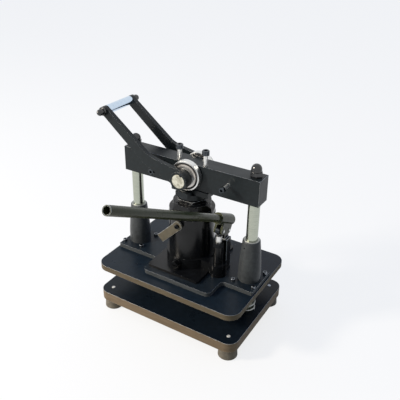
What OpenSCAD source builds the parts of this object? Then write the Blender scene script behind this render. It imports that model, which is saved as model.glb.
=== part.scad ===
// Hand operated die cutting press: a bottle jack drives a plate that two columns guide
// Millimetres, +Z up, +X to the right, -Y towards the operator, the floor at z = 0
// The press stands open, as at rest: jack drawn in, quick lever back, pump handle raised

/* [Base] */
// Width of the base plate
base_w = 370; // [350:1:420]
// Depth of the base plate
base_d = 260; // [240:1:320]
// Thickness of the base plate
base_t = 24; // [16:1:32]
// Corner radius of the base plate
base_corner_r = 25; // [10:1:40]
// Diameter of a rubber foot where it stands on the floor
foot_d = 44; // [36:1:48]
// Diameter of a rubber foot under the plate
foot_top_d = 40; // [34:1:46]
// Height of a rubber foot
foot_h = 28; // [24:1:36]
// Distance from a foot's axis to the plate's edges
foot_inset = 25; // [24:1:34]
// Thread diameter of a foot screw
foot_screw_d = 8; // [6:1:10]
// Head diameter of a foot screw
foot_head_d = 15; // [13:1:20]
// Head height of a foot screw
foot_head_h = 6; // [4:1:8]
// Rubber left under a foot screw's head
foot_floor = 8; // [4:1:12]

/* [Press plate] */
// Open height between base plate and press plate
opening = 64; // [60:1:100]
// Width of the press plate
press_plate_w = 370; // [350:1:420]
// Depth of the press plate
press_plate_d = 260; // [240:1:320]
// Thickness of the press plate
press_plate_t = 14; // [12:1:24]
// Corner radius of the press plate
press_plate_corner_r = 28; // [10:1:40]

/* [Carrier plate] */
// Thickness of the carrier plate
carrier_t = 10; // [6:1:16]
// Reach of the carrier's arms from the middle
carrier_arm_reach = 182; // [178:1:190]
// Depth of the carrier's arms, front to back
carrier_arm_d = 92; // [84:1:120]
// Reach of the carrier's wide middle to the left
carrier_left = 70; // [68:1:90]
// Reach of the carrier's wide middle to the pump side
carrier_right = 106; // [104:1:108]
// Depth of the carrier's wide middle, front to back
carrier_mid_d = 202; // [190:1:220]
// Outer corner radius of the wide middle
carrier_corner_r = 12; // [8:1:24]
// Inner corner radius between middle and arms
carrier_fillet_r = 10; // [6:1:15]
// Corner radius at the ends of the arms
carrier_end_r = 3; // [1:0.5:8]
// Distance of the carrier screws from a column, sideways
carrier_screw_x = 25; // [22:0.5:25]
// Distance of the carrier screws from a column, front to back
carrier_screw_y = 30; // [28:0.5:36]
// Thread diameter of the carrier screws
carrier_screw_d = 6; // [5:1:8]
// Head diameter of the carrier screws
carrier_head_d = 10; // [9:0.5:13]
// Head height of the carrier screws
carrier_head_h = 6; // [5:0.5:8]
// Depth of the carrier screws' thread in the press plate
carrier_thread_l = 11; // [7:0.5:11]

/* [Columns and sleeves] */
// Diameter of a chromed column
column_d = 26; // [24:0.5:30]
// Distance between the two column axes
column_spread = 303; // [296:1:304]
// Stud diameter at the foot of a column
column_foot_stud_d = 20; // [16:1:22]
// Stud diameter at the top of a column
column_top_stud_d = 16; // [12:1:16]
// Width across flats of the nut under the base plate
foot_nut_af = 30; // [28:1:36]
// Thickness of the nut under the base plate
foot_nut_h = 14; // [10:1:16]
// Width across flats of the acorn nut on the crossbeam
acorn_af = 24; // [24:1:30]
// Height of the acorn nut's hexagon
acorn_hex_h = 12; // [8:1:16]
// Dome diameter of the acorn nut
acorn_dome_d = 22.5; // [20:0.5:23]
// Whole height of the acorn nut
acorn_h = 28; // [25:1:34]
// Height of a guide sleeve over the carrier plate
sleeve_h = 101; // [88:1:118]
// Height of the sleeve's tapered top
sleeve_taper_h = 78; // [50:1:84]
// Wall of the sleeve round the return spring
sleeve_wall = 5.75; // [5:0.25:8]
// Wall of the sleeve round the guide bush
sleeve_top_wall = 3.5; // [3:0.25:6]
// Wall of the bronze guide bush
bush_wall = 3; // [2.5:0.25:4]
// Length of the bronze guide bush
bush_l = 38; // [30:1:44]
// Radial width of the wiper ring outside the bush
wiper_lip = 1.5; // [1:0.25:2]
// Depth of the wiper ring's seat in the sleeve
wiper_seat_h = 4; // [3:0.5:6]
// Height of the wiper ring over the sleeve
wiper_proud_h = 1.5; // [0.5:0.25:3]
// Diameter of the oil hole in a sleeve
oil_hole_d = 4; // [3:0.5:6]

/* [Return springs] */
// Wire diameter of a return spring
spring_wire = 4; // [3:0.25:4.5]
// Radial gap of a return spring to column and sleeve
spring_gap = 1.5; // [1.25:0.25:2.5]
// Turns of a return spring with its two flat end turns
spring_turns = 12; // [8:1:14]

/* [Crossbeam] */
// Length of the crossbeam
beam_l = 340; // [336:1:364]
// Depth of the crossbeam, front to back
beam_d = 40; // [36:1:48]
// Height of the crossbeam
beam_h = 58; // [54:1:64]
// Wall of the bronze shaft bush in the beam
shaft_bush_wall = 3; // [2:0.25:3]

/* [Quick lever] */
// Diameter of the lever shaft
shaft_d = 32; // [28:0.5:32]
// Throw of the eccentric collars
eccentric = 5; // [4:0.25:5.5]
// Angle of the throw from upright at rest, towards the right
eccentric_phase = 33; // [28:1:36]
// Seat diameter of the eccentric collars
collar_seat_d = 45; // [45:0.5:47]
// Outer diameter of a roller bearing
roller_d = 68; // [66:1:74]
// Width of a roller bearing
roller_w = 13; // [11:1:15]
// Wall of the bearing's outer ring
roller_ring_wall = 3.5; // [3:0.25:4]
// Wall of the bearing's inner ring
roller_inner_wall = 3.5; // [2:0.25:3.75]
// Balls in one bearing
roller_balls_n = 12; // [8:1:16]
// Thickness of a bearing shield
shield_t = 1; // [0.8:0.1:1.5]
// Gap between beam face and bearing
roller_side_gap = 1; // [0.8:0.1:2]
// Gap between bearing and lever arm
arm_side_gap = 6; // [4:0.5:8]
// Thickness of a lever arm
arm_t = 10; // [8:0.5:12]
// Radius of a lever arm round the shaft
arm_hub_r = 20.5; // [20:0.5:24]
// Height of the hub outside a lever arm
arm_hub_h = 8; // [6:0.5:12]
// Distance of the arm's bend to the left of the shaft
arm_bend_x = 83; // [76:1:90]
// Height of the arm's bend over the shaft
arm_bend_z = 23; // [18:1:26]
// Radius of the arm at its bend
arm_bend_r = 12.5; // [11:0.5:15]
// Length of the bend's inner curve towards the hub
arm_curve_hub_l = 30; // [20:1:36]
// Length of the bend's inner curve towards the grip
arm_curve_grip_l = 12; // [8:1:12]
// Distance of the grip to the left of the shaft
grip_x = 196; // [180:1:210]
// Height of the grip over the shaft
grip_z = 115; // [105:1:125]
// Radius of the arm round the grip
arm_end_r = 10; // [9:0.5:12]
// Diameter of the grip tube
grip_d = 20; // [14:0.5:20]
// Diameter of the rod inside the grip
grip_rod_d = 10; // [8:0.5:11]
// Width across flats of the grip's acorn nuts
grip_nut_af = 17; // [15:0.5:19]
// Height of the hexagon of the grip's acorn nuts
grip_nut_hex_h = 7; // [5:0.5:9]
// Dome diameter of the grip's acorn nuts
grip_nut_dome_d = 14.5; // [13:0.5:15]
// Whole height of the grip's acorn nuts
grip_nut_h = 20; // [18:0.5:24]
// Diameter of the round key between shaft and arm
key_d = 6; // [5:0.5:7]
// Length of the round key
key_l = 13; // [10:0.5:16]
// Angle of a key from upright, towards the right
key_phase = 22; // [0:1:60]
// Swing of the lever from its left stop to its right stop
lever_swing_angle = 148; // [140:1:150]
// Place of the left stop along the arm's lower edge
left_stop_reach = 71; // [66:1:76]
// Place of the right stop along the arm's upper edge
right_stop_reach = 19; // [18:1:26]
// Thread diameter of a stop screw
stop_screw_d = 8; // [6:0.5:9]
// Head diameter of a stop screw
stop_head_d = 13; // [11:0.5:15]
// Head height of a stop screw
stop_head_h = 8; // [6:0.5:9]
// Depth of a stop screw's thread in the beam
stop_thread_l = 18; // [12:1:18]

/* [Yoke] */
// Width of the pressure bar under the rollers
yoke_bar_w = 30; // [26:1:36]
// Reach of the pressure bar in front of a roller
yoke_bar_lip = 11; // [8:1:14]
// Thickness of the pressure bar
yoke_bar_t = 12; // [10:1:18]
// Height of the round boss under the pressure bar
yoke_boss_h = 13; // [10:1:20]
// Diameter of the round boss under the pressure bar
yoke_boss_d = 64; // [58:1:72]
// Depth of the ears that hold the guide screws
yoke_ear_d = 44; // [40:1:56]
// Metal round a guide screw in its ear
yoke_ear_wall = 9; // [7:1:12]
// Gap between roller and pressure bar at rest
roller_gap = 0.75; // [0.7:0.05:1.2]
// Distance between the two guide screws
guide_spread = 65; // [64:1:72]
// Shift of the guide screw pair towards the pump side
guide_shift = 6; // [2:1:6]
// Distance of the guide screws in front of the beam's middle
guide_y = 10; // [9:0.5:13]
// Thread diameter of a guide screw
guide_screw_d = 10; // [8:0.5:10]
// Head diameter of a guide screw
guide_head_d = 16; // [14:0.5:17]
// Head height of a guide screw
guide_head_h = 10; // [8:0.5:11]
// Height of a guide screw's shank over the beam
guide_proud = 24; // [18:1:30]

/* [Jack] */
// Width of the jack's foot
jack_foot_w = 134; // [126:1:136]
// Depth of the jack's foot, front to back
jack_foot_d = 170; // [150:1:176]
// Thickness of the jack's foot
jack_foot_t = 6; // [5:0.5:10]
// Corner radius of the jack's foot
jack_foot_r = 5; // [3:1:18]
// Diameter of the collar round the tank
jack_collar_d = 118; // [114:1:124]
// Height of the collar over the jack's foot
jack_collar_h = 24; // [24:1:30]
// Outer diameter of the oil tank
tank_d = 106; // [102:1:110]
// Wall of the oil tank
tank_wall = 4; // [3:0.25:5]
// Height of the oil tank over the collar
tank_h = 98; // [90:1:120]
// Depth of the tank's seat in the collar
tank_seat_h = 10; // [6:0.5:14]
// Bore of the working cylinder
bore_d = 50; // [48:1:54]
// Wall of the working cylinder
cylinder_wall = 8; // [6:0.5:10]
// Depth of the working cylinder's seat in the foot
cylinder_seat_h = 16; // [10:0.5:18]
// Diameter of the ram
ram_d = 40; // [36:0.5:42]
// Height of the piston on the ram
piston_h = 18; // [14:1:24]
// Oil space under the drawn-in piston
piston_rest_h = 6; // [3:1:10]
// Radial depth of the piston seal
seal_depth = 3; // [2:0.25:3.5]
// Height of the piston seal
seal_h = 5; // [4:0.5:7]
// Diameter of the cap's round rim on the tank
cap_d = 104; // [102:1:106]
// Height of the cap's round rim
cap_rim_h = 12; // [8:0.5:16]
// Width across flats of the cap's hexagon
cap_af = 86; // [80:1:88]
// Height of the cap's tapered hexagon
cap_hex_h = 17; // [14:0.5:24]
// Diameter at the top of the cap's taper
cap_top_d = 86; // [82:1:90]
// Width across flats of the gland nut
gland_af = 63; // [60:1:68]
// Height of the gland nut's hexagon
gland_h = 8; // [6:0.5:12]
// Thread diameter of the gland nut
gland_thread_d = 52; // [50:1:56]
// Height of the ram seal under the gland nut
ram_seal_h = 5; // [4:0.5:7]
// Gap between gland nut and yoke with the ram drawn in
ram_gap = 2.4; // [1:0.1:4]
// Depth of the ram's seat in the yoke
ram_seat_h = 8; // [5:0.5:12]
// Thread diameter of the screws that hold the jack from below
clamp_screw_d = 10; // [8:1:10]
// Head diameter of those countersunk screws
clamp_head_d = 20; // [17:1:21]
// Distance of those screws from the foot's edges
clamp_inset = 14; // [12:1:18]
// Diameter of the oil filler plug
oil_plug_d = 12; // [10:1:14]
// Height of the oil filler plug under the tank's top
oil_plug_drop = 26; // [20:1:40]
// Height of the oil filler plug's stem out of the tank
oil_plug_stem_h = 4; // [3:0.5:6]
// Diameter of the oil filler plug's head
oil_plug_head_d = 17; // [15:0.5:19]
// Height of the oil filler plug's head
oil_plug_head_h = 3; // [2:0.5:5]

/* [Tank strap] */
// Width of the flat strap on the tank
strap_w = 20; // [16:1:21]
// Radius of the strap's round head
strap_head_r = 11; // [10.75:0.25:14]
// Thickness of the flat strap
strap_t = 5; // [4:0.5:7]
// Length of the strap from its screw
strap_l = 66; // [50:1:80]
// Slope of the strap, down to the left
strap_slope = 45; // [30:1:60]
// Height of the strap's screw under the tank's top
strap_drop = 12; // [10:1:24]
// Diameter of the boss that carries the strap
strap_boss_d = 14; // [12:1:18]
// Height of the boss over the tank's wall
strap_boss_h = 4; // [2:0.5:8]
// Thread diameter of the strap's screw
strap_screw_d = 6; // [5:0.5:7]
// Head diameter of the strap's screw
strap_head_d = 10; // [9:0.5:12]
// Head height of the strap's screw
strap_head_h = 5; // [4:0.5:7]

/* [Release valve] */
// Place of the release valve to the left of the middle
valve_x = 1; // [0:1:12]
// Height of the release valve's axis over the jack's foot
valve_rise = 14; // [12:0.5:14]
// Diameter of the valve's boss on the collar
valve_boss_d = 19; // [17:0.5:19.5]
// Reach of the valve's boss from the collar
valve_boss_l = 6; // [5:0.5:12]
// Diameter of the valve spindle
valve_d = 10; // [8:0.5:12]
// Head diameter of the valve spindle
valve_head_d = 16; // [14:0.5:20]
// Head length of the valve spindle
valve_head_l = 8; // [6:0.5:12]
// Width of the slot that the handle's end turns
valve_slot_w = 5; // [3:0.5:7]
// Depth of that slot
valve_slot_h = 4; // [3:0.5:5]

/* [Pump] */
// Distance of the pump from the jack's axis, to the right
pump_x = 84; // [82:0.5:86]
// Distance of the pump in front of the jack's axis
pump_y = 24; // [20:1:28]
// Half width of the foot's pad round pump and fulcrum
pump_pad_r = 20; // [18:0.5:20]
// Diameter of the boss at the foot of the pump
pump_boss_d = 39; // [34:0.5:39]
// Height of the boss at the foot of the pump
pump_boss_h = 24; // [12:1:26]
// Width of the web between the collar and the pump's boss
pump_web_w = 24; // [16:1:28]
// Outer diameter of the pump cylinder
pump_d = 22; // [20:0.5:24]
// Height of the pump's gland over the jack's foot
pump_h = 79; // [74:1:84]
// Width across flats of the pump's gland
pump_gland_af = 22; // [20:0.5:23]
// Height of the pump's gland
pump_gland_h = 11; // [8:0.5:14]
// Depth of the pump cylinder's thread in the gland
pump_thread_l = 7; // [5:0.5:7.5]
// Thread diameter of the pump cylinder in the gland
pump_thread_d = 18; // [17:0.5:19]
// Diameter of the pump plunger
plunger_d = 14; // [12:0.5:14]
// Length of the plunger inside the pump at rest
plunger_in_l = 42; // [36:1:46]
// Bright length of the plunger over the gland at rest
plunger_show_l = 20; // [20:0.5:23]
// Distance between fulcrum pin and plunger pin
pin_arm = 28; // [24:0.5:28]
// Half of the handle's pumping angle
pump_half_angle = 20; // [14:1:20]
// Diameter of fulcrum pin and plunger pin
pin_d = 7; // [6:0.5:8]
// Radius of the plunger's eye
eye_r = 9; // [8:0.25:10]
// Radius of the fulcrum's eye
fulcrum_eye_r = 8; // [7:0.25:8.25]
// Thickness of plunger eye and fulcrum eye
eye_t = 10; // [8:0.5:11]
// Diameter of the neck under the plunger's eye
eye_neck_d = 8; // [7:0.5:9]
// Length of the neck under the plunger's eye
eye_neck_l = 4; // [3:0.5:5]
// Width of the fulcrum post's foot
post_w = 22; // [18:0.5:22]
// Depth of the fulcrum post
post_d = 20; // [18:0.5:22]
// Ledge of the foot's pad round the post
post_ledge = 2; // [1:0.5:4]
// Drop of the post's shoulder under the fulcrum pin
post_shoulder = 22; // [20:1:30]

/* [Pump handle] */
// Angle of the raised pump handle over level
handle_raise = 28.3; // [24:0.1:34]
// Height of the handle's axis over the fulcrum pin
socket_rise = 22; // [22:0.5:25]
// Outer diameter of the handle socket
socket_d = 26; // [24:0.5:26]
// Reach of the socket in front of the fulcrum pin
socket_front = 52; // [46:1:60]
// Reach of the socket behind the fulcrum pin
socket_rear = 17; // [15:1:30]
// Depth of the handle in its socket
socket_depth = 52; // [40:1:56]
// Radius of the rounded rear end of the socket
socket_round = 5; // [3:0.5:8]
// Thickness of a socket cheek
cheek_t = 5; // [4:0.25:5.5]
// Radius of a cheek round a pin
cheek_r = 8; // [7:0.25:8]
// Diameter of the pump handle
handle_d = 17.5; // [16:0.5:19]
// Wall of the pump handle
handle_wall = 2; // [1.5:0.25:2.5]
// Length of the pump handle out of its socket
handle_out_l = 387; // [340:1:460]

/* [Fits] */
// Radial gap of a running fit
running_fit = 0.03; // [0.02:0.01:0.06]
// Radial gap round a threaded or seated piece
seat_fit = 0.05; // [0.03:0.01:0.1]
// Gap between pieces that pass or stop each other
free_gap = 0.3; // [0.25:0.05:0.4]

/* [Hidden] */
$fn = 96;
FRAME = [
    "base_plate", "rubber_feet", "foot_screws", "left_column", "right_column", "column_foot_nuts",
    "crossbeam", "column_acorn_nuts", "lever_stop_screws", "beam_bush",
    "left_return_spring", "right_return_spring"
];
LEVER = [
    "lever_shaft", "eccentric_collars", "roller_inner_rings", "roller_balls",
    "front_lever_arm", "rear_lever_arm", "hub_keys", "lever_grip", "grip_rod", "grip_acorn_nuts",
    "front_roller_ring", "front_roller_shield", "rear_roller_ring", "rear_roller_shield"
];
YOKE = ["yoke", "guide_screws", "jack_ram", "ram_piston_seal"];
PLATEN = [
    "press_plate", "carrier_plate", "left_guide_sleeve", "right_guide_sleeve", "guide_bushes",
    "wiper_rings", "carrier_screws", "jack_base", "jack_clamp_screws", "jack_tank", "jack_cylinder",
    "jack_cap", "gland_nut", "ram_seal", "oil_plug", "tank_strap", "strap_screw"
];
PUMP = [
    "pump_cylinder", "pump_gland", "fulcrum_post", "fulcrum_pin", "pump_plunger", "plunger_pin",
    "handle_socket", "pump_handle", "release_valve"
];

// Colours of the finishes
black_paint = "#2b2f36";
black_oxide = "#1d1f22";
enamel = "#15181b";
chrome = "#d4d7da";
bright_steel = "#b9bcbf";
bronze = "#a97b42";
rubber = "#6f6a61";

// Small overlap that keeps cuts clean
eps = 0.01;
sides = [-1, 1];

// Heights, from the floor up
base_top = foot_h + base_t;
plate_z = base_top + opening;
carrier_z = plate_z + press_plate_t;
deck_z = carrier_z + carrier_t;
foot_top_z = deck_z + jack_foot_t;
collar_top_z = foot_top_z + jack_collar_h;
tank_top_z = collar_top_z + tank_h;
cap_hex_z = tank_top_z + cap_rim_h;
cap_top_z = cap_hex_z + cap_hex_h;
gland_top_z = cap_top_z + gland_h;
yoke_z = gland_top_z + ram_gap;
yoke_bar_z = yoke_z + yoke_boss_h;
yoke_top_z = yoke_bar_z + yoke_bar_t;
shaft_z = yoke_top_z + roller_gap + roller_d / 2 - eccentric * cos(eccentric_phase);
beam_z = shaft_z - beam_h / 2;
beam_top_z = beam_z + beam_h;

// Columns, sleeves and springs
column_x = column_spread / 2;
spring_r = column_d / 2 + spring_gap + spring_wire / 2;
spring_bore_d = column_d + 2 * (2 * spring_gap + spring_wire);
sleeve_d = spring_bore_d + 2 * sleeve_wall;
bush_d = column_d + 2 * bush_wall;
wiper_d = bush_d + 2 * wiper_lip;
sleeve_top_d = bush_d + 2 * sleeve_top_wall;
spring_seat_z = deck_z + sleeve_h - wiper_seat_h - bush_l;
foot_stud_bottom = foot_h - foot_nut_h - 2;

// Lever and rollers
roller_y = beam_d / 2 + roller_side_gap;
arm_y = roller_y + roller_w + arm_side_gap;
arm_out_y = arm_y + arm_t;
shaft_half_l = arm_out_y + arm_hub_h;
throw_x = eccentric * sin(eccentric_phase);
throw_z = eccentric * cos(eccentric_phase);
race_d = roller_d - 2 * roller_ring_wall;
inner_race_d = collar_seat_d + 2 * roller_inner_wall;
ball_d = (race_d - inner_race_d) / 2 - 2 * free_gap;
bend_at = [-arm_bend_x, arm_bend_z];
grip_at = [-grip_x, grip_z];
stop_out_y = arm_out_y;
stop_r = stop_head_d / 2 + free_gap;

// Jack
jack_foot_x = jack_foot_w / 2;
cylinder_d = bore_d + 2 * cylinder_wall;
cylinder_z = collar_top_z - cylinder_seat_h;
cylinder_top_z = tank_top_z + cap_rim_h / 3;
piston_z = cylinder_z + piston_rest_h;
ram_top_z = yoke_z + ram_seat_h;
seal_z = cap_hex_z;
clamp_x = jack_foot_w / 2 - clamp_inset;
clamp_y = jack_foot_d / 2 - clamp_inset;
strap_y = tank_d / 2 + strap_boss_h;
strap_z = tank_top_z - strap_drop;
valve_z = foot_top_z + valve_rise;
valve_y = jack_collar_d / 2 + valve_boss_l;
valve_depth = valve_boss_l + 0.3 * (jack_collar_d - tank_d);

// Pump and handle
pump_top_z = foot_top_z + pump_h;
slot_half = pin_arm * (1 - cos(pump_half_angle)) / 2;
plunger_pin_z = pump_top_z + plunger_show_l + eye_r;
fulcrum_y = -pump_y + pin_arm * (1 + cos(pump_half_angle)) / 2;
fulcrum_z = plunger_pin_z - pin_arm * sin(pump_half_angle);
pin_drop_angle = handle_raise - pump_half_angle;
plunger_pin_at = [-pin_arm * cos(pin_drop_angle), -pin_arm * sin(pin_drop_angle)];
cheek_in = eye_t / 2 + free_gap;
cheek_out = cheek_in + cheek_t;
pin_half_l = cheek_out + 1.5;

// The origin lies on the floor, under the middle of the whole press
handle_reach = (socket_front + handle_out_l) * cos(handle_raise)
    - (socket_rise - handle_d / 2) * sin(handle_raise) - fulcrum_y;
stand_x = (grip_x + arm_end_r - max(base_w, press_plate_w) / 2) / 2;
stand_y = (handle_reach - max(base_d, press_plate_d) / 2) / 2;

// Sets a piece on the floor round the origin
module stand() {
    translate([stand_x, stand_y, 0])
        children();
}

// Shared shapes

// A rod along Y from y0 to y1
module rod_y(d, y0, y1) {
    translate([0, y1, 0])
        rotate([90, 0, 0])
            cylinder(d = d, h = y1 - y0);
}

// A rod along X from x0 to x1
module rod_x(d, x0, x1) {
    translate([x0, 0, 0])
        rotate([0, 90, 0])
            cylinder(d = d, h = x1 - x0);
}

// A flat outline in X and Z, made thick along Y from y0 to y1
module thick_y(y0, y1) {
    translate([0, y1, 0])
        rotate([90, 0, 0])
            linear_extrude(y1 - y0)
                children();
}

// A flat outline in Y and Z, made thick along X from x0 to x1
module thick_x(x0, x1) {
    translate([x0, 0, 0])
        rotate([90, 0, 90])
            linear_extrude(x1 - x0)
                children();
}

// A rectangle with round corners
module round_rect(x0, x1, y0, y1, r) {
    translate([x0 + r, y0])
        square([x1 - x0 - 2 * r, y1 - y0]);
    translate([x0, y0 + r])
        square([x1 - x0, y1 - y0 - 2 * r]);
    for (x = [x0 + r, x1 - r], y = [y0 + r, y1 - r])
        translate([x, y])
            circle(r);
}

// A plate with round corners, centred, with its bottom at z
module round_plate(w, d, t, r, z) {
    translate([0, 0, z])
        linear_extrude(t)
            round_rect(-w / 2, w / 2, -d / 2, d / 2, r);
}

// Angle of the outer tangent of two circles, seen from the first one
function tangent_angle(c1, r1, c2, r2, side) =
    atan2(c2[1] - c1[1], c2[0] - c1[0]) + side * acos((r1 - r2) / norm(c2 - c1));

// The point at radius r and angle a round c
function around(c, r, a) = c + r * [cos(a), sin(a)];

// A flat link: two circles and the tangents that join them
module flat_link(c1, r1, c2, r2) {
    left = tangent_angle(c1, r1, c2, r2, 1);
    right = tangent_angle(c1, r1, c2, r2, -1);
    translate(c1)
        circle(r1);
    translate(c2)
        circle(r2);
    polygon([around(c1, r1, left), around(c2, r2, left), around(c2, r2, right), around(c1, r1, right)]);
}

// A hexagonal prism with flats at the given width
module hexagon(af, h) {
    cylinder(d = af / cos(30), h = h, $fn = 6);
}

// A hexagonal nut with a bore, its corners eased at both ends
module plain_nut(af, h, bore) {
    corner_r = af / 2 / cos(30);
    ease = (corner_r - af / 2) * 0.6;
    difference() {
        intersection() {
            hexagon(af, h);
            rotate_extrude()
                polygon([
                    [0, 0], [corner_r - ease, 0], [corner_r, ease], [corner_r, h - ease],
                    [corner_r - ease, h], [0, h]
                ]);
        }
        translate([0, 0, -1])
            cylinder(d = bore, h = h + 2);
    }
}

// A closed acorn nut on a stud of the given diameter
module acorn_nut(af, hex_h, dome_d, h, stud_d) {
    difference() {
        union() {
            plain_nut(af, hex_h, stud_d / 2);
            translate([0, 0, hex_h - eps])
                cylinder(d = dome_d, h = h - hex_h - dome_d / 2 + eps);
            translate([0, 0, h - dome_d / 2])
                sphere(d = dome_d);
        }
        translate([0, 0, -1])
            cylinder(d = stud_d + 2 * seat_fit, h = acorn_bore(h, dome_d) + 1);
    }
}
function acorn_bore(h, dome_d) = h - dome_d * 0.35;

// A socket head screw: head over z = 0, shank under it
module socket_screw(head_d, head_h, shank_d, shank_l) {
    edge = head_h * 0.1;
    difference() {
        rotate_extrude()
            polygon([
                [0, -shank_l], [shank_d / 2 - edge, -shank_l], [shank_d / 2, edge - shank_l],
                [shank_d / 2, 0], [head_d / 2, 0], [head_d / 2, head_h - edge],
                [head_d / 2 - edge, head_h], [0, head_h]
            ]);
        translate([0, 0, head_h * 0.4])
            hexagon(head_d * 0.48, head_h);
    }
}

// Places that repeat
module at_feet() {
    for (x = sides, y = sides)
        translate([x * (base_w / 2 - foot_inset), y * (base_d / 2 - foot_inset), 0])
            children();
}

module at_columns() {
    for (x = sides)
        translate([x * column_x, 0, 0])
            children();
}

module at_carrier_screws() {
    at_columns()
        for (x = sides, y = sides)
            translate([x * carrier_screw_x, y * carrier_screw_y, 0])
                children();
}

module at_clamp_screws() {
    for (x = sides, y = sides)
        translate([x * clamp_x, y * clamp_y, 0])
            children();
}

module at_guide_screws() {
    for (x = sides)
        translate([guide_shift + x * guide_spread / 2, -guide_y, 0])
            children();
}

module at_roller_axis() {
    translate([throw_x, 0, shaft_z + throw_z])
        children();
}

// Front and rear copies of what is modelled on the rear side
module front_and_rear() {
    children();
    mirror([0, 1, 0])
        children();
}

// Base and frame

module base_plate() {
    color(black_paint)
        difference() {
            round_plate(base_w, base_d, base_t, base_corner_r, foot_h);
            at_feet()
                translate([0, 0, foot_h - 1])
                    cylinder(d = foot_screw_d + 2 * seat_fit, h = base_t + 2);
            at_columns()
                translate([0, 0, foot_h - 1])
                    cylinder(d = column_foot_stud_d + 2 * seat_fit, h = base_t + 2);
        }
}

module rubber_feet() {
    edge = 2;
    head_seat_r = foot_head_d / 2 + seat_fit;
    screw_r = foot_screw_d / 2 + seat_fit;
    color(rubber)
        at_feet()
            rotate_extrude()
                polygon([
                    [head_seat_r, 0], [foot_d / 2 - edge, 0], [foot_d / 2, edge], [foot_top_d / 2, foot_h],
                    [screw_r, foot_h], [screw_r, foot_floor + foot_head_h],
                    [head_seat_r, foot_floor + foot_head_h]
                ]);
}

module foot_screws() {
    shank_l = base_top - foot_floor - foot_head_h;
    color(bright_steel)
        at_feet()
            translate([0, 0, foot_floor + foot_head_h])
                mirror([0, 0, 1])
                    socket_screw(foot_head_d, foot_head_h, foot_screw_d, shank_l);
}

module column() {
    edge = 1;
    stud_top = beam_top_z + acorn_bore(acorn_h, acorn_dome_d) - 2;
    color(chrome)
        rotate_extrude()
            polygon([
                [0, foot_stud_bottom], [column_foot_stud_d / 2 - edge, foot_stud_bottom],
                [column_foot_stud_d / 2, foot_stud_bottom + edge], [column_foot_stud_d / 2, base_top],
                [column_d / 2, base_top], [column_d / 2, beam_z], [column_top_stud_d / 2, beam_z],
                [column_top_stud_d / 2, stud_top - edge], [column_top_stud_d / 2 - edge, stud_top],
                [0, stud_top]
            ]);
}

module left_column() {
    translate([-column_x, 0, 0])
        column();
}

module right_column() {
    translate([column_x, 0, 0])
        column();
}

module column_foot_nuts() {
    color(black_oxide)
        at_columns()
            translate([0, 0, foot_h - foot_nut_h])
                plain_nut(foot_nut_af, foot_nut_h, column_foot_stud_d + 2 * seat_fit);
}

module column_acorn_nuts() {
    color(black_oxide)
        at_columns()
            translate([0, 0, beam_top_z])
                acorn_nut(acorn_af, acorn_hex_h, acorn_dome_d, acorn_h, column_top_stud_d);
}

// Where the two stop screws meet the lever arm at the ends of its swing
hub_low = tangent_angle([0, 0], arm_hub_r, bend_at, arm_bend_r, 1);
left_stop_at = around([0, 0], arm_hub_r + stop_r, hub_low)
    + left_stop_reach * [cos(hub_low - 90), sin(hub_low - 90)];
bend_high = tangent_angle(bend_at, arm_bend_r, grip_at, arm_end_r, -1);
right_stop_rest = around(bend_at, arm_bend_r + stop_r, bend_high)
    + right_stop_reach * [cos(bend_high + 90), sin(bend_high + 90)];
right_stop_angle = atan2(right_stop_rest[1], right_stop_rest[0]) - lever_swing_angle;
right_stop_at = around([0, 0], norm(right_stop_rest), right_stop_angle);

module at_stops() {
    for (at = [left_stop_at, right_stop_at])
        translate([at[0], 0, shaft_z + at[1]])
            children();
}

module lever_stop_screws() {
    shank_l = stop_out_y - stop_head_h - beam_d / 2 + stop_thread_l;
    color(bright_steel)
        at_stops()
            translate([0, stop_head_h - stop_out_y, 0])
                rotate([90, 0, 0])
                    socket_screw(stop_head_d, stop_head_h, stop_screw_d, shank_l);
}

module crossbeam() {
    color(black_paint)
        difference() {
            translate([-beam_l / 2, -beam_d / 2, beam_z])
                cube([beam_l, beam_d, beam_h]);
            translate([0, 0, shaft_z])
                rod_y(shaft_d + 2 * shaft_bush_wall, -beam_d, beam_d);
            at_columns()
                translate([0, 0, beam_z - 1])
                    cylinder(d = column_top_stud_d + 2 * seat_fit, h = beam_h + 2);
            at_guide_screws()
                translate([0, 0, beam_z - 1])
                    cylinder(d = guide_screw_d + 2 * free_gap, h = beam_h + 2);
            at_stops()
                rod_y(stop_screw_d, -beam_d, stop_thread_l - beam_d / 2);
        }
}

module beam_bush() {
    color(bronze)
        translate([0, 0, shaft_z])
            difference() {
                rod_y(shaft_d + 2 * shaft_bush_wall, -beam_d / 2, beam_d / 2);
                rod_y(shaft_d + 2 * running_fit, -beam_d, beam_d);
            }
}

// Return springs: one wire wound round the column, with a flat turn at each end

spring_rings = 8;
spring_sides = 6;
spring_steps = spring_rings * spring_turns;
flat_pitch = spring_wire + 0.7;
spring_low_z = base_top + free_gap + spring_wire / 2;
spring_high_z = spring_seat_z - free_gap - spring_wire / 2;
open_pitch = (spring_high_z - spring_low_z - 2 * flat_pitch) / (spring_turns - 2);

// Height of the wire after t turns
function spring_height(t) =
    spring_low_z + flat_pitch * min(t, 1) + open_pitch * max(0, min(t - 1, spring_turns - 2))
    + flat_pitch * max(0, t - spring_turns + 1);

// Centre of the wire at step i
function spring_centre(i) =
    let (a = 360 * i / spring_rings)
    [spring_r * cos(a), spring_r * sin(a), spring_height(i / spring_rings)];

// One corner of the wire's section at step i
function spring_corner(i, k) =
    let (
        a = 360 * i / spring_rings,
        b = 360 * (k + 0.5) / spring_sides,
        r = spring_r + spring_wire / 2 * cos(b)
    )
    [r * cos(a), r * sin(a), spring_height(i / spring_rings) + spring_wire / 2 * sin(b)];

function spring_corners() = [for (i = [0 : spring_steps], k = [0 : spring_sides - 1]) spring_corner(i, k)];

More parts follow.
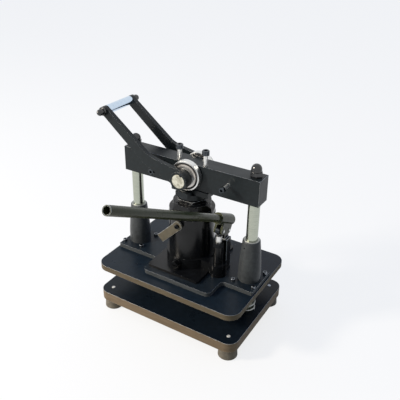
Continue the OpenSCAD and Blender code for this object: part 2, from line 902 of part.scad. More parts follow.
function spring_skin() = [
    for (i = [0 : spring_steps - 1], k = [0 : spring_sides - 1])
        let (n = (k + 1) % spring_sides, a = i * spring_sides + k, b = i * spring_sides + n)
            for (face = [[a, b, b + spring_sides], [a, b + spring_sides, a + spring_sides]]) face
];

function spring_ends() =
    let (last = spring_steps * spring_sides)
    concat(
        [for (k = [1 : spring_sides - 2]) [0, k + 1, k]],
        [for (k = [1 : spring_sides - 2]) [last, last + k, last + k + 1]]
    );

// The least gap of the wire to itself, from turn to turn
spring_self_gap = min([
    for (i = [0 : spring_steps], j = [i + spring_rings / 2 : 1 : spring_steps])
        norm(spring_centre(j) - spring_centre(i))
]) - spring_wire;
echo(spring_self_gap = spring_self_gap);

module return_spring() {
    color(bright_steel)
        polyhedron(points = spring_corners(), faces = concat(spring_skin(), spring_ends()));
}

module left_return_spring() {
    translate([-column_x, 0, 0])
        return_spring();
}

module right_return_spring() {
    translate([column_x, 0, 0])
        return_spring();
}

// Quick lever with its two rollers

module key_cut() {
    front_and_rear()
        translate([0, 0, shaft_z])
            rotate([0, key_phase, 0])
                translate([0, 0, shaft_d / 2])
                    rod_y(key_d, shaft_half_l - key_l, shaft_half_l + 1);
}

module lever_shaft() {
    edge = 1;
    color(bright_steel)
        difference() {
            translate([0, 0, shaft_z])
                rotate([90, 0, 0])
                    rotate_extrude()
                        polygon([
                            [0, -shaft_half_l], [shaft_d / 2 - edge, -shaft_half_l],
                            [shaft_d / 2, edge - shaft_half_l], [shaft_d / 2, shaft_half_l - edge],
                            [shaft_d / 2 - edge, shaft_half_l], [0, shaft_half_l]
                        ]);
            key_cut();
        }
}

module hub_keys() {
    color(black_oxide)
        front_and_rear()
            translate([0, 0, shaft_z])
                rotate([0, key_phase, 0])
                    translate([0, 0, shaft_d / 2])
                        rod_y(key_d - 2 * seat_fit, shaft_half_l - key_l, shaft_half_l - 0.5);
}

module eccentric_collars() {
    color(black_oxide)
        front_and_rear()
            difference() {
                union() {
                    at_roller_axis()
                        rod_y(collar_seat_d, roller_y - roller_side_gap / 2, roller_y + roller_w);
                    translate([0, 0, shaft_z])
                        rod_y(2 * arm_hub_r, roller_y + roller_w - eps, arm_y);
                }
                translate([0, 0, shaft_z])
                    rod_y(shaft_d + 2 * seat_fit, 0, 2 * arm_y);
            }
}

module roller_inner_rings() {
    color(bright_steel)
        front_and_rear()
            at_roller_axis()
                difference() {
                    rod_y(inner_race_d, roller_y, roller_y + roller_w);
                    rod_y(collar_seat_d + 2 * seat_fit, 0, 2 * roller_y + roller_w);
                }
}

module roller_balls() {
    color(chrome)
        front_and_rear()
            at_roller_axis()
                for (i = [0 : roller_balls_n - 1])
                    rotate([0, 360 * i / roller_balls_n, 0])
                        translate([(race_d + inner_race_d) / 4, roller_y + roller_w / 2, 0])
                            sphere(d = ball_d, $fn = 32);
}

module rear_roller_ring() {
    edge = 0.8;
    r = roller_d / 2;
    color(chrome)
        at_roller_axis()
            translate([0, roller_y + roller_w, 0])
                rotate([90, 0, 0])
                    rotate_extrude($fn = 128)
                        polygon([
                            [race_d / 2, 0], [r - edge, 0], [r, edge], [r, roller_w - edge],
                            [r - edge, roller_w], [race_d / 2, roller_w]
                        ]);
}

module rear_roller_shield() {
    out = roller_y + roller_w - 0.6;
    color(chrome)
        at_roller_axis()
            difference() {
                rod_y(race_d, out - shield_t, out);
                rod_y(inner_race_d + 2 * free_gap, 0, 2 * out);
            }
}

module front_roller_ring() {
    mirror([0, 1, 0])
        rear_roller_ring();
}

module front_roller_shield() {
    mirror([0, 1, 0])
        rear_roller_shield();
}

bend_curve_steps = 5;
bend_inset = 0.3;

// The upper edge of one stretch of the arm, just inside it, as a point and a direction
function upper_edge(c1, r1, c2, r2) =
    let (
        a = tangent_angle(c1, r1, c2, r2, -1),
        p = around(c1, r1 - bend_inset, a),
        q = around(c2, r2 - bend_inset, a)
    )
    [p, (q - p) / norm(q - p)];

// Where two edges cross, each given as a point and a direction
function crossing(e, f) =
    let (d = f[0] - e[0])
    e[0] + e[1] * (d[0] * f[1][1] - d[1] * f[1][0]) / (e[1][0] * f[1][1] - e[1][1] * f[1][0]);

hub_edge = upper_edge([0, 0], arm_hub_r, bend_at, arm_bend_r);
grip_edge = upper_edge(bend_at, arm_bend_r, grip_at, arm_end_r);
bend_corner = crossing(hub_edge, grip_edge);

// A point of the curve that rounds the inner corner of the bend
function bend_curve(t) =
    bend_corner - (1 - t) * (1 - t) * arm_curve_hub_l * hub_edge[1] + t * t * arm_curve_grip_l * grip_edge[1];

module arm_outline() {
    flat_link([0, 0], arm_hub_r, bend_at, arm_bend_r);
    flat_link(bend_at, arm_bend_r, grip_at, arm_end_r);
    polygon(concat([bend_at], [for (i = [0 : bend_curve_steps]) bend_curve(i / bend_curve_steps)]));
}

module rear_lever_arm() {
    color(black_paint)
        difference() {
            translate([0, 0, shaft_z]) {
                thick_y(arm_y, arm_out_y)
                    arm_outline();
                rod_y(2 * arm_hub_r, arm_out_y - eps, shaft_half_l);
            }
            translate([0, 0, shaft_z])
                rod_y(shaft_d + 2 * seat_fit, 0, 2 * shaft_half_l);
            translate([grip_at[0], 0, shaft_z + grip_at[1]])
                rod_y(grip_rod_d + 2 * seat_fit, 0, 2 * shaft_half_l);
            key_cut();
        }
}

module front_lever_arm() {
    mirror([0, 1, 0])
        rear_lever_arm();
}

module at_grip() {
    translate([grip_at[0], 0, shaft_z + grip_at[1]])
        children();
}

module lever_grip() {
    color(chrome)
        at_grip()
            difference() {
                rod_y(grip_d, -arm_y, arm_y);
                rod_y(grip_rod_d + 2 * free_gap, -2 * arm_y, 2 * arm_y);
            }
}

module grip_rod() {
    reach = arm_out_y + acorn_bore(grip_nut_h, grip_nut_dome_d) - 1;
    color(bright_steel)
        at_grip()
            rod_y(grip_rod_d, -reach, reach);
}

module grip_acorn_nuts() {
    color(black_oxide)
        front_and_rear()
            at_grip()
                translate([0, arm_out_y, 0])
                    rotate([-90, 0, 0])
                        acorn_nut(grip_nut_af, grip_nut_hex_h, grip_nut_dome_d, grip_nut_h, grip_rod_d);
}

// Yoke and ram: the pressure bar that the rollers push down

yoke_bar_half = roller_y + roller_w + yoke_bar_lip;
yoke_lip_y = roller_y - roller_side_gap / 2;
yoke_mid_top_z = min(yoke_top_z, beam_z - 3 * free_gap);
ear_pad = guide_screw_d / 2 + yoke_ear_wall;

module yoke() {
    color(black_paint)
        difference() {
            union() {
                for (y = [-yoke_bar_half, yoke_lip_y])
                    translate([-yoke_bar_w / 2, y, yoke_bar_z])
                        cube([yoke_bar_w, yoke_bar_half - yoke_lip_y, yoke_bar_t]);
                translate([-yoke_bar_w / 2, -yoke_bar_half, yoke_bar_z])
                    cube([yoke_bar_w, 2 * yoke_bar_half, yoke_mid_top_z - yoke_bar_z]);
                translate([guide_shift - guide_spread / 2 - ear_pad, -yoke_ear_d / 2, yoke_bar_z])
                    cube([guide_spread + 2 * ear_pad, yoke_ear_d, yoke_mid_top_z - yoke_bar_z]);
                translate([0, 0, yoke_z])
                    cylinder(d = yoke_boss_d, h = yoke_boss_h + eps);
            }
            translate([0, 0, yoke_z - 1])
                cylinder(d = ram_d + 2 * seat_fit, h = ram_seat_h + 1);
            at_guide_screws()
                translate([0, 0, yoke_bar_z - 1])
                    cylinder(d = guide_screw_d, h = yoke_bar_t + 2);
        }
}

module guide_screws() {
    shank_l = beam_top_z + guide_proud - yoke_bar_z;
    color(bright_steel)
        at_guide_screws()
            translate([0, 0, beam_top_z + guide_proud])
                socket_screw(guide_head_d, guide_head_h, guide_screw_d, shank_l);
}

piston_groove_z = piston_z + (piston_h - seal_h) / 2;

module jack_ram() {
    piston_r = bore_d / 2 - running_fit;
    color(chrome)
        difference() {
            union() {
                translate([0, 0, piston_z])
                    cylinder(r = piston_r, h = piston_h);
                translate([0, 0, piston_z])
                    cylinder(d = ram_d, h = ram_top_z - piston_z);
            }
            translate([0, 0, piston_groove_z])
                difference() {
                    cylinder(d = bore_d + 2, h = seal_h);
                    translate([0, 0, -1])
                        cylinder(d = bore_d - 2 * seal_depth, h = seal_h + 2);
                }
        }
}

module ram_piston_seal() {
    color(rubber)
        translate([0, 0, piston_groove_z + seat_fit])
            difference() {
                cylinder(r = bore_d / 2 - running_fit, h = seal_h - 2 * seat_fit);
                translate([0, 0, -1])
                    cylinder(d = bore_d - 2 * seal_depth + 2 * seat_fit, h = seal_h + 2);
            }
}

// Press plate, carrier and sleeves

module clamp_cut(gap) {
    cone_h = (clamp_head_d - clamp_screw_d) / 2;
    at_clamp_screws() {
        translate([0, 0, plate_z])
            cylinder(d1 = clamp_head_d + 2 * gap, d2 = clamp_screw_d + 2 * gap, h = cone_h);
        translate([0, 0, plate_z])
            cylinder(d = clamp_screw_d + 2 * gap, h = foot_top_z - plate_z - 2);
    }
}

module press_plate() {
    color(black_paint)
        difference() {
            round_plate(press_plate_w, press_plate_d, press_plate_t, press_plate_corner_r, plate_z);
            at_columns()
                translate([0, 0, plate_z - 1])
                    cylinder(d = spring_bore_d, h = press_plate_t + 2);
            at_carrier_screws()
                translate([0, 0, carrier_z - carrier_thread_l])
                    cylinder(d = carrier_screw_d + 2 * seat_fit, h = carrier_thread_l + 1);
            clamp_cut(seat_fit);
        }
}

// Quarter fillet in the inner corner at [x, y], open towards sx and sy
module inner_fillet(x, y, sx, sy, r) {
    translate([x, y])
        scale([sx, sy])
            difference() {
                translate([-eps, -eps])
                    square(r + eps);
                translate([r, r])
                    circle(r);
            }
}

module carrier_outline() {
    arm_y0 = carrier_arm_d / 2;
    mid_y = carrier_mid_d / 2;
    round_rect(-carrier_arm_reach, carrier_arm_reach, -arm_y0, arm_y0, carrier_end_r);
    round_rect(-carrier_left, carrier_right, -mid_y, mid_y, carrier_corner_r);
    for (y = sides) {
        inner_fillet(carrier_right, y * arm_y0, 1, y, carrier_fillet_r);
        inner_fillet(-carrier_left, y * arm_y0, -1, y, carrier_fillet_r);
    }
}

module carrier_plate() {
    color(black_paint)
        difference() {
            translate([0, 0, carrier_z])
                linear_extrude(carrier_t)
                    carrier_outline();
            at_columns()
                translate([0, 0, carrier_z - 1])
                    cylinder(d = spring_bore_d, h = carrier_t + 2);
            at_carrier_screws()
                translate([0, 0, carrier_z - 1])
                    cylinder(d = carrier_screw_d + 2 * seat_fit, h = carrier_t + 2);
            clamp_cut(seat_fit);
        }
}

module carrier_screws() {
    shank_l = carrier_t + carrier_thread_l - 0.5;
    color(black_oxide)
        at_carrier_screws()
            translate([0, 0, deck_z])
                socket_screw(carrier_head_d, carrier_head_h, carrier_screw_d, shank_l);
}

sleeve_edge = 1.5;
sleeve_steps = 8;

// A point of the sleeve's outer curve, from the start of its taper up to its mouth
function sleeve_point(t) = [
    (sleeve_d - (sleeve_d - sleeve_top_d) * pow(t, 1.3)) / 2,
    sleeve_h - sleeve_taper_h + t * (sleeve_taper_h - sleeve_edge)
];

// One sleeve, with its oil hole on the side given by the sign of hole_side
module guide_sleeve(hole_side) {
    bush_z = sleeve_h - wiper_seat_h - bush_l;
    wiper_z = sleeve_h - wiper_seat_h;
    color(black_paint)
        difference() {
            translate([0, 0, deck_z])
                rotate_extrude()
                    polygon(concat(
                        [[spring_bore_d / 2, 0], [sleeve_d / 2, 0]],
                        [for (i = [0 : sleeve_steps]) sleeve_point(i / sleeve_steps)],
                        [
                            [sleeve_top_d / 2 - sleeve_edge, sleeve_h],
                            [wiper_d / 2, sleeve_h], [wiper_d / 2, wiper_z], [bush_d / 2, wiper_z],
                            [bush_d / 2, bush_z], [spring_bore_d / 2, bush_z]
                        ]
                    ));
            translate([0, 0, deck_z + sleeve_h - wiper_seat_h - bush_l * 0.3])
                rotate([0, 0, hole_side * 20 - 90])
                    rod_x(oil_hole_d, bush_d / 2 - 1, sleeve_d);
        }
}

module left_guide_sleeve() {
    translate([-column_x, 0, 0])
        guide_sleeve(1);
}

module right_guide_sleeve() {
    translate([column_x, 0, 0])
        guide_sleeve(-1);
}

module guide_bushes() {
    color(bronze)
        at_columns()
            translate([0, 0, spring_seat_z])
                difference() {
                    cylinder(d = bush_d, h = bush_l);
                    translate([0, 0, -1])
                        cylinder(d = column_d + 2 * running_fit, h = bush_l + 2);
                }
}

module wiper_rings() {
    edge = 0.6;
    h = wiper_seat_h + wiper_proud_h;
    inner = column_d / 2 + running_fit;
    color(chrome)
        at_columns()
            translate([0, 0, spring_seat_z + bush_l])
                rotate_extrude()
                    polygon([
                        [inner, 0], [wiper_d / 2, 0], [wiper_d / 2, h - edge],
                        [wiper_d / 2 - edge, h], [inner, h]
                    ]);
}

// Jack

module jack_foot_outline() {
    pad_corner_r = pump_pad_r / 4;
    pad_x = pump_x + post_w / 2 + post_ledge;
    pad_y0 = -pump_y - pad_corner_r;
    pad_y1 = fulcrum_y + post_d / 2 + post_ledge;
    half_d = jack_foot_d / 2;
    round_rect(-jack_foot_x, jack_foot_x, -half_d, half_d, jack_foot_r);
    round_rect(0, pad_x, pad_y0, pad_y1, pad_corner_r);
    inner_fillet(jack_foot_x, pad_y1, 1, 1, pad_corner_r);
    translate([pump_x, -pump_y])
        circle(pump_pad_r);
}

module jack_base() {
    post_seat_w = post_w + 2 * seat_fit;
    color(enamel)
        difference() {
            union() {
                translate([0, 0, deck_z])
                    linear_extrude(jack_foot_t)
                        jack_foot_outline();
                translate([0, 0, foot_top_z - eps])
                    cylinder(d = jack_collar_d, h = jack_collar_h + eps);
                translate([pump_x, -pump_y, foot_top_z - eps])
                    cylinder(d = pump_boss_d, h = pump_boss_h + eps);
                translate([jack_collar_d / 4, -pump_y - pump_web_w / 2, foot_top_z - eps])
                    cube([pump_x - jack_collar_d / 4, pump_web_w, pump_boss_h - 1]);
                translate([-valve_x, 0, valve_z])
                    rod_y(valve_boss_d, -valve_y, -jack_collar_d / 4);
            }
            translate([0, 0, collar_top_z - tank_seat_h])
                difference() {
                    cylinder(d = tank_d + 2 * seat_fit, h = tank_seat_h + 1);
                    translate([0, 0, -1])
                        cylinder(d = tank_d - 2 * tank_wall - 2 * seat_fit, h = 3 * tank_seat_h);
                }
            translate([0, 0, cylinder_z])
                cylinder(d = cylinder_d + 2 * seat_fit, h = cylinder_seat_h + 1);
            translate([pump_x, -pump_y, foot_top_z])
                cylinder(d = pump_d + 2 * seat_fit, h = pump_boss_h + 1);
            translate([pump_x - post_seat_w / 2, fulcrum_y - post_d / 2 - seat_fit, foot_top_z])
                cube([post_seat_w, 2 * post_d, 2 * pump_boss_h]);
            translate([-valve_x, 0, valve_z])
                rod_y(valve_d + 2 * running_fit, -valve_y - 1, valve_depth - valve_y + free_gap);
            clamp_cut(seat_fit);
            translate([0, 0, deck_z - jack_collar_h])
                cylinder(d = 3 * base_w, h = jack_collar_h);
        }
}

module jack_clamp_screws() {
    color(black_oxide)
        difference() {
            clamp_cut(0);
            at_clamp_screws()
                translate([0, 0, plate_z - 1])
                    hexagon(clamp_screw_d * 0.6, clamp_screw_d * 0.5 + 1);
        }
}

module strap_bore(gap) {
    translate([0, 0, strap_z])
        rod_y(strap_screw_d + 2 * gap, -2 * tank_d, tank_wall / 2 - tank_d / 2);
}

module jack_tank() {
    color(enamel)
        difference() {
            union() {
                translate([0, 0, collar_top_z - tank_seat_h])
                    cylinder(d = tank_d, h = tank_top_z - collar_top_z + tank_seat_h);
                translate([0, 0, strap_z])
                    rod_y(strap_boss_d, -strap_y, tank_wall - tank_d / 2);
            }
            translate([0, 0, collar_top_z - tank_seat_h - 1])
                cylinder(d = tank_d - 2 * tank_wall, h = 2 * tank_h + tank_seat_h);
            strap_bore(seat_fit);
            translate([0, 0, tank_top_z - oil_plug_drop])
                rod_y(oil_plug_d + 2 * seat_fit, 0, tank_d);
        }
}

module oil_plug() {
    out = tank_d / 2 + oil_plug_stem_h;
    color(rubber)
        translate([0, 0, tank_top_z - oil_plug_drop]) {
            rod_y(oil_plug_d, tank_d / 2 - 2 * tank_wall, out);
            rod_y(oil_plug_head_d, out - eps, out + oil_plug_head_h);
        }
}

module jack_cylinder() {
    color(bright_steel)
        translate([0, 0, cylinder_z])
            difference() {
                cylinder(d = cylinder_d, h = cylinder_top_z - cylinder_z);
                translate([0, 0, -1])
                    cylinder(d = bore_d, h = tank_h + jack_collar_h + cap_rim_h);
            }
}

module jack_cap() {
    color(enamel)
        difference() {
            union() {
                translate([0, 0, tank_top_z])
                    cylinder(d = cap_d, h = cap_rim_h);
                intersection() {
                    translate([0, 0, cap_hex_z - eps])
                        hexagon(cap_af, cap_hex_h + eps);
                    translate([0, 0, cap_hex_z - eps])
                        cylinder(d1 = cap_d, d2 = cap_top_d, h = cap_hex_h + eps);
                }
            }
            translate([0, 0, tank_top_z - 1])
                cylinder(d = cylinder_d + 2 * seat_fit, h = cylinder_top_z - tank_top_z + 1);
            translate([0, 0, tank_top_z - 1])
                cylinder(d = ram_d + 2 * running_fit, h = cap_rim_h + cap_hex_h + 2);
            translate([0, 0, seal_z])
                cylinder(d = gland_thread_d + 2 * seat_fit, h = cap_hex_h + 1);
        }
}

module ram_seal() {
    color(rubber)
        translate([0, 0, seal_z])
            difference() {
                cylinder(d = gland_thread_d, h = ram_seal_h);
                translate([0, 0, -1])
                    cylinder(d = ram_d + 2 * running_fit, h = ram_seal_h + 2);
            }
}

module gland_nut() {
    color(enamel)
        difference() {
            union() {
                translate([0, 0, cap_top_z])
                    plain_nut(gland_af, gland_h, ram_d / 2);
                translate([0, 0, seal_z + ram_seal_h])
                    cylinder(d = gland_thread_d, h = cap_hex_h - ram_seal_h + eps);
            }
            translate([0, 0, seal_z])
                cylinder(d = ram_d + 2 * running_fit, h = cap_hex_h + gland_h + 1);
        }
}

module tank_strap() {
    along = [-cos(strap_slope), -sin(strap_slope)];
    across = strap_w / 2 * [along[1], -along[0]];
    color(black_paint)
        translate([0, 0, strap_z])
            difference() {
                thick_y(-strap_y - strap_t, -strap_y) {
                    circle(strap_head_r);
                    polygon([across, across + strap_l * along, strap_l * along - across, -across]);
                }
                rod_y(strap_screw_d + 2 * seat_fit, -2 * tank_d, 0);
            }
}

module strap_screw() {
    shank_l = strap_t + strap_boss_h + tank_wall / 4;
    color(black_oxide)
        translate([0, -strap_y - strap_t, strap_z])
            rotate([90, 0, 0])
                socket_screw(strap_head_d, strap_head_h, strap_screw_d, shank_l);
}

// Pump, fulcrum and release valve

pump_bore_z = foot_top_z + pump_boss_h / 3;

module pump_cylinder() {
    body_h = pump_h - pump_gland_h;
    color(enamel)
        translate([pump_x, -pump_y, foot_top_z])
            difference() {
                union() {
                    cylinder(d = pump_d, h = body_h);
                    cylinder(d = pump_thread_d, h = body_h + pump_thread_l);
                }
                translate([0, 0, pump_bore_z - foot_top_z])
                    cylinder(d = plunger_d + 2 * running_fit, h = pump_h);
            }
}

module pump_gland() {
    color(black_oxide)
        translate([pump_x, -pump_y, pump_top_z - pump_gland_h])
            difference() {
                plain_nut(pump_gland_af, pump_gland_h, plunger_d + 2 * running_fit);
                translate([0, 0, -1])
                    cylinder(d = pump_thread_d + 2 * seat_fit, h = pump_thread_l + 1);
            }
}

module pump_plunger() {
    slot_r = pin_d / 2 + free_gap;
    rod_l = plunger_in_l + plunger_show_l - eye_neck_l;
    color(chrome)
        translate([pump_x, -pump_y, plunger_pin_z])
            difference() {
                union() {
                    translate([0, 0, -eye_r - plunger_show_l - plunger_in_l])
                        cylinder(d = plunger_d, h = rod_l);
                    translate([0, 0, -eye_r - 2 * eye_neck_l])
                        cylinder(d = eye_neck_d, h = 2 * eye_neck_l + eye_r / 2);
                    thick_x(-eye_t / 2, eye_t / 2)
                        flat_link([-slot_half, 0], eye_r, [slot_half, 0], eye_r);
                }
                thick_x(-eye_t, eye_t)
                    flat_link([-slot_half, 0], slot_r, [slot_half, 0], slot_r);
            }
}

module fulcrum_post() {
    shoulder_z = fulcrum_z - post_shoulder;
    color(enamel)
        translate([pump_x, fulcrum_y, 0])
            difference() {
                union() {
                    translate([-post_w / 2, -post_d / 2, foot_top_z])
                        cube([post_w, post_d, shoulder_z - foot_top_z]);
                    thick_x(-eye_t / 2, eye_t / 2) {
                        translate([-fulcrum_eye_r, shoulder_z - eps])
                            square([2 * fulcrum_eye_r, post_shoulder + eps]);
                        translate([0, fulcrum_z])
                            circle(fulcrum_eye_r);
                    }
                }
                translate([0, 0, fulcrum_z])
                    rod_x(pin_d + 2 * seat_fit, -pump_x, pump_x);
            }
}

module fulcrum_pin() {
    color(bright_steel)
        translate([pump_x, fulcrum_y, fulcrum_z])
            rod_x(pin_d, -pin_half_l, pin_half_l);
}

// Everything on the handle is modelled level, with the fulcrum pin at the origin
module on_handle() {
    translate([pump_x, fulcrum_y, fulcrum_z])
        rotate([-handle_raise, 0, 0])
            children();
}

module plunger_pin() {
    color(bright_steel)
        on_handle()
            translate([0, plunger_pin_at[0], plunger_pin_at[1]])
                rod_x(pin_d, -pin_half_l, pin_half_l);
}

// A cheek: round at both pins, its upper part inside the tube
module cheek_outline() {
    side_r = cheek_r * 0.96;
    front = plunger_pin_at[0] - side_r;
    low = tangent_angle([0, 0], side_r, plunger_pin_at, side_r, 1);
    translate(plunger_pin_at)
        circle(cheek_r);
    circle(cheek_r);
    polygon([
        [front, plunger_pin_at[1]], [front, socket_rise], [side_r, socket_rise], [side_r, 0],
        around([0, 0], side_r, low), around(plunger_pin_at, side_r, low)
    ]);
}

module handle_socket() {
    r = socket_d / 2;
    bore = handle_d + 2 * seat_fit;
    l = socket_front + socket_rear;
    round_at = [r - socket_round, socket_round];
    color(black_paint)
        on_handle()
            difference() {
                union() {
                    translate([0, socket_rear, socket_rise])
                        rotate([90, 0, 0])
                            rotate_extrude()
                                polygon(concat(
                                    [[0, l], [0, 0]],
                                    [for (a = [-90 : 15 : 0]) around(round_at, socket_round, a)],
                                    [[r, l]]
                                ));
                    for (x = [-cheek_out, cheek_in])
                        thick_x(x, x + cheek_t)
                            cheek_outline();
                }
                translate([0, 0, socket_rise])
                    rod_y(bore, -2 * socket_front, socket_depth - socket_front);
                rod_x(pin_d + 2 * running_fit, -pump_x, pump_x);
                translate([0, plunger_pin_at[0], plunger_pin_at[1]])
                    rod_x(pin_d + 2 * seat_fit, -pump_x, pump_x);
            }
}

module pump_handle() {
    tip = socket_front + handle_out_l;
    color(black_paint)
        on_handle()
            translate([0, 0, socket_rise])
                difference() {
                    rod_y(handle_d, -tip, socket_depth - socket_front);
                    rod_y(handle_d - 2 * handle_wall, -2 * tip, socket_depth);
                }
}

module release_valve() {
    head_y = valve_y + 2;
    color(bright_steel)
        translate([-valve_x, 0, valve_z])
            difference() {
                union() {
                    rod_y(valve_d, -head_y, valve_depth - valve_y);
                    rod_y(valve_head_d, -head_y - valve_head_l, eps - head_y);
                }
                translate([-valve_head_d, -head_y - valve_head_l - 1, -valve_slot_w / 2])
                    cube([2 * valve_head_d, valve_slot_h + 1, valve_slot_w]);
            }
}

stand() base_plate();
stand() rubber_feet();
stand() foot_screws();
stand() left_column();
stand() right_column();
stand() column_foot_nuts();
stand() crossbeam();
stand() column_acorn_nuts();
stand() lever_stop_screws();
stand() beam_bush();
stand() left_return_spring();
stand() right_return_spring();
stand() lever_shaft();
stand() eccentric_collars();
stand() roller_inner_rings();
stand() roller_balls();
stand() front_lever_arm();
stand() rear_lever_arm();
stand() hub_keys();
stand() lever_grip();
stand() grip_rod();
stand() grip_acorn_nuts();
stand() front_roller_ring();
stand() front_roller_shield();
stand() rear_roller_ring();
stand() rear_roller_shield();
stand() yoke();
stand() guide_screws();
stand() jack_ram();
stand() ram_piston_seal();
stand() press_plate();
stand() carrier_plate();
stand() left_guide_sleeve();
stand() right_guide_sleeve();
stand() guide_bushes();
stand() wiper_rings();
stand() carrier_screws();
stand() jack_base();
stand() jack_clamp_screws();
stand() jack_tank();
stand() jack_cylinder();
stand() jack_cap();
stand() gland_nut();
stand() ram_seal();
stand() oil_plug();
stand() tank_strap();
stand() strap_screw();
stand() pump_cylinder();
stand() pump_gland();
stand() fulcrum_post();
stand() fulcrum_pin();
stand() pump_plunger();
stand() plunger_pin();
stand() handle_socket();
stand() pump_handle();
stand() release_valve();
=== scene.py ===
"""Looks of the die cutting press: finishes of metal, rubber and paint, wound springs, light and camera."""

import math

import bpy
from mathutils import Matrix, Vector


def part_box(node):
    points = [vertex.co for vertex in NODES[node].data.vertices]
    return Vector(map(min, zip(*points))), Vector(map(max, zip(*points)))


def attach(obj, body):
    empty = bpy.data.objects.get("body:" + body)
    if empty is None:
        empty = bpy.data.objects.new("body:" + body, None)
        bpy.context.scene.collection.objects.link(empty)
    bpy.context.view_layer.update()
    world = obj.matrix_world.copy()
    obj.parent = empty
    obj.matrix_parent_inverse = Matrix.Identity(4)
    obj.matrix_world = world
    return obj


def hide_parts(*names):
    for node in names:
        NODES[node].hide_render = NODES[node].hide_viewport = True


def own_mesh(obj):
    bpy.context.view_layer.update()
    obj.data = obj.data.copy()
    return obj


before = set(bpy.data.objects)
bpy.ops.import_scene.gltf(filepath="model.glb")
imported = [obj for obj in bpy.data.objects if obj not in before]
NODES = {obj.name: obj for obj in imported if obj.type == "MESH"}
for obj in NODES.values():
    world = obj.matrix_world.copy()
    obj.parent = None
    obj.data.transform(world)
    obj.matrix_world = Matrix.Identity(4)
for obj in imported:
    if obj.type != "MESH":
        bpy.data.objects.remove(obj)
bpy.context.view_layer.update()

MM = 0.001

# Faces that meet at more than this angle have a sharp edge between them
SHARP_ANGLE = math.radians(40)


def middle(name):
    """The middle of the box round a CAD node."""
    low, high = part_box(name)
    return (low + high) / 2


# The place on the floor under the middle of the base plate: light and camera are set from here
STAND = Vector((middle("base_plate").x, middle("base_plate").y, 0))


# Colours and shader nodes

# Most values of a noise texture lie between these two
NOISE_LOW = 0.3
NOISE_HIGH = 0.7

# The period of a wave texture at scale 1
WAVE_PERIOD = 2 * math.pi / 20


def linear(hex_colour):
    """An sRGB hex colour as linear RGBA."""
    channels = [int(hex_colour[i:i + 2], 16) / 255 for i in (1, 3, 5)]
    return tuple(c / 12.92 if c <= 0.04045 else ((c + 0.055) / 1.055) ** 2.4 for c in channels) + (1.0,)


def add(tree, kind, inputs=None, **settings):
    """Adds one shader node; an input is a value, or the output socket that it links from."""
    made = tree.nodes.new(kind)
    for name, value in settings.items():
        setattr(made, name, value)
    for name, value in (inputs or {}).items():
        if isinstance(value, bpy.types.NodeSocket):
            tree.links.new(value, made.inputs[name])
        else:
            made.inputs[name].default_value = value
    return made


def per_metre(size_mm):
    """The texture scale at which one cell of a pattern is so many millimetres wide."""
    return 1.0 / (size_mm * MM)


def start_finish(name):
    """A new material with an empty tree, and the object's own coordinates in it."""
    made = bpy.data.materials.new(name)
    made.use_nodes = True
    tree = made.node_tree
    tree.nodes.clear()
    return made, tree, add(tree, "ShaderNodeTexCoord")


def end_finish(tree, shader):
    """Links the shader to the material's output."""
    add(tree, "ShaderNodeOutputMaterial", {"Surface": shader.outputs[0]})


def mottled(tree, place, size_mm, first, second, low=NOISE_LOW, high=NOISE_HIGH, detail=4.0):
    """A colour that wanders between two hex colours in patches of the given size."""
    cloud = add(tree, "ShaderNodeTexNoise",
                {"Vector": place, "Scale": per_metre(size_mm), "Detail": detail, "Roughness": 0.6})
    share = add(tree, "ShaderNodeMapRange",
                {"Value": cloud.outputs["Fac"], "From Min": low, "From Max": high})
    return add(tree, "ShaderNodeMix", {0: share.outputs[0], 6: linear(first), 7: linear(second)},
               data_type="RGBA").outputs[2]


def patchy(tree, place, size_mm, least, most):
    """A number that wanders between two values in patches of the given size."""
    cloud = add(tree, "ShaderNodeTexNoise",
                {"Vector": place, "Scale": per_metre(size_mm), "Detail": 5.0, "Roughness": 0.65})
    return add(tree, "ShaderNodeMapRange",
               {"Value": cloud.outputs["Fac"], "From Min": NOISE_LOW, "From Max": NOISE_HIGH,
                "To Min": least, "To Max": most}).outputs[0]


def relief(tree, place, size_mm, depth_mm, strength):
    """The bump of a fine random grain."""
    grain = add(tree, "ShaderNodeTexNoise", {"Vector": place, "Scale": per_metre(size_mm), "Detail": 2.0})
    return add(tree, "ShaderNodeBump",
               {"Height": grain.outputs["Fac"], "Strength": strength, "Distance": depth_mm * MM}).outputs[0]


# Finishes: smooth and matt are the least and the greatest roughness, gloss is a film's index of refraction

# Sizes of the patterns in millimetres; a mottle is a change of colour, a sheen a change of roughness
PEEL_WIDTH = 1.8
COAT_SHEEN = 50
PLATE_SHEEN = 60
SHAFT_MOTTLE = 7
ENAMEL_WAVE = 6
ENAMEL_MOTTLE = 14
ENAMEL_SHEEN = 30
MOULD_GRAIN = 1.2
DUST_MOTTLE = 11
DUST_SHEEN = 9

# These are finer on the real pieces, and are drawn so coarse to show: a coat's mottle is about 1.5 mm wide,
# lines of flame cutting are about 1.5 mm apart, marks of grinding and of the lathe tool under 0.2 mm
COAT_MOTTLE = 8
CUT_LINE = 5
TOOL_MARK = 3
LATHE_RING = 4

# So many octaves of noise make tool marks crisp
TOOL_DETAIL = 6.0

# The films' indices of refraction, matched to the shine of plates, jack and feet
PLATE_GLOSS = 1.27
ENAMEL_GLOSS = 1.35
RUBBER_GLOSS = 1.52

# How upright the normal is on a plate's face, and how upright on its cut edge
FACE_TILT = 0.75
EDGE_TILT = 0.45


def orange_peel(tree, place):
    """The shallow bumps of a baked powder coat."""
    return relief(tree, place, PEEL_WIDTH, depth_mm=0.1, strength=0.12)


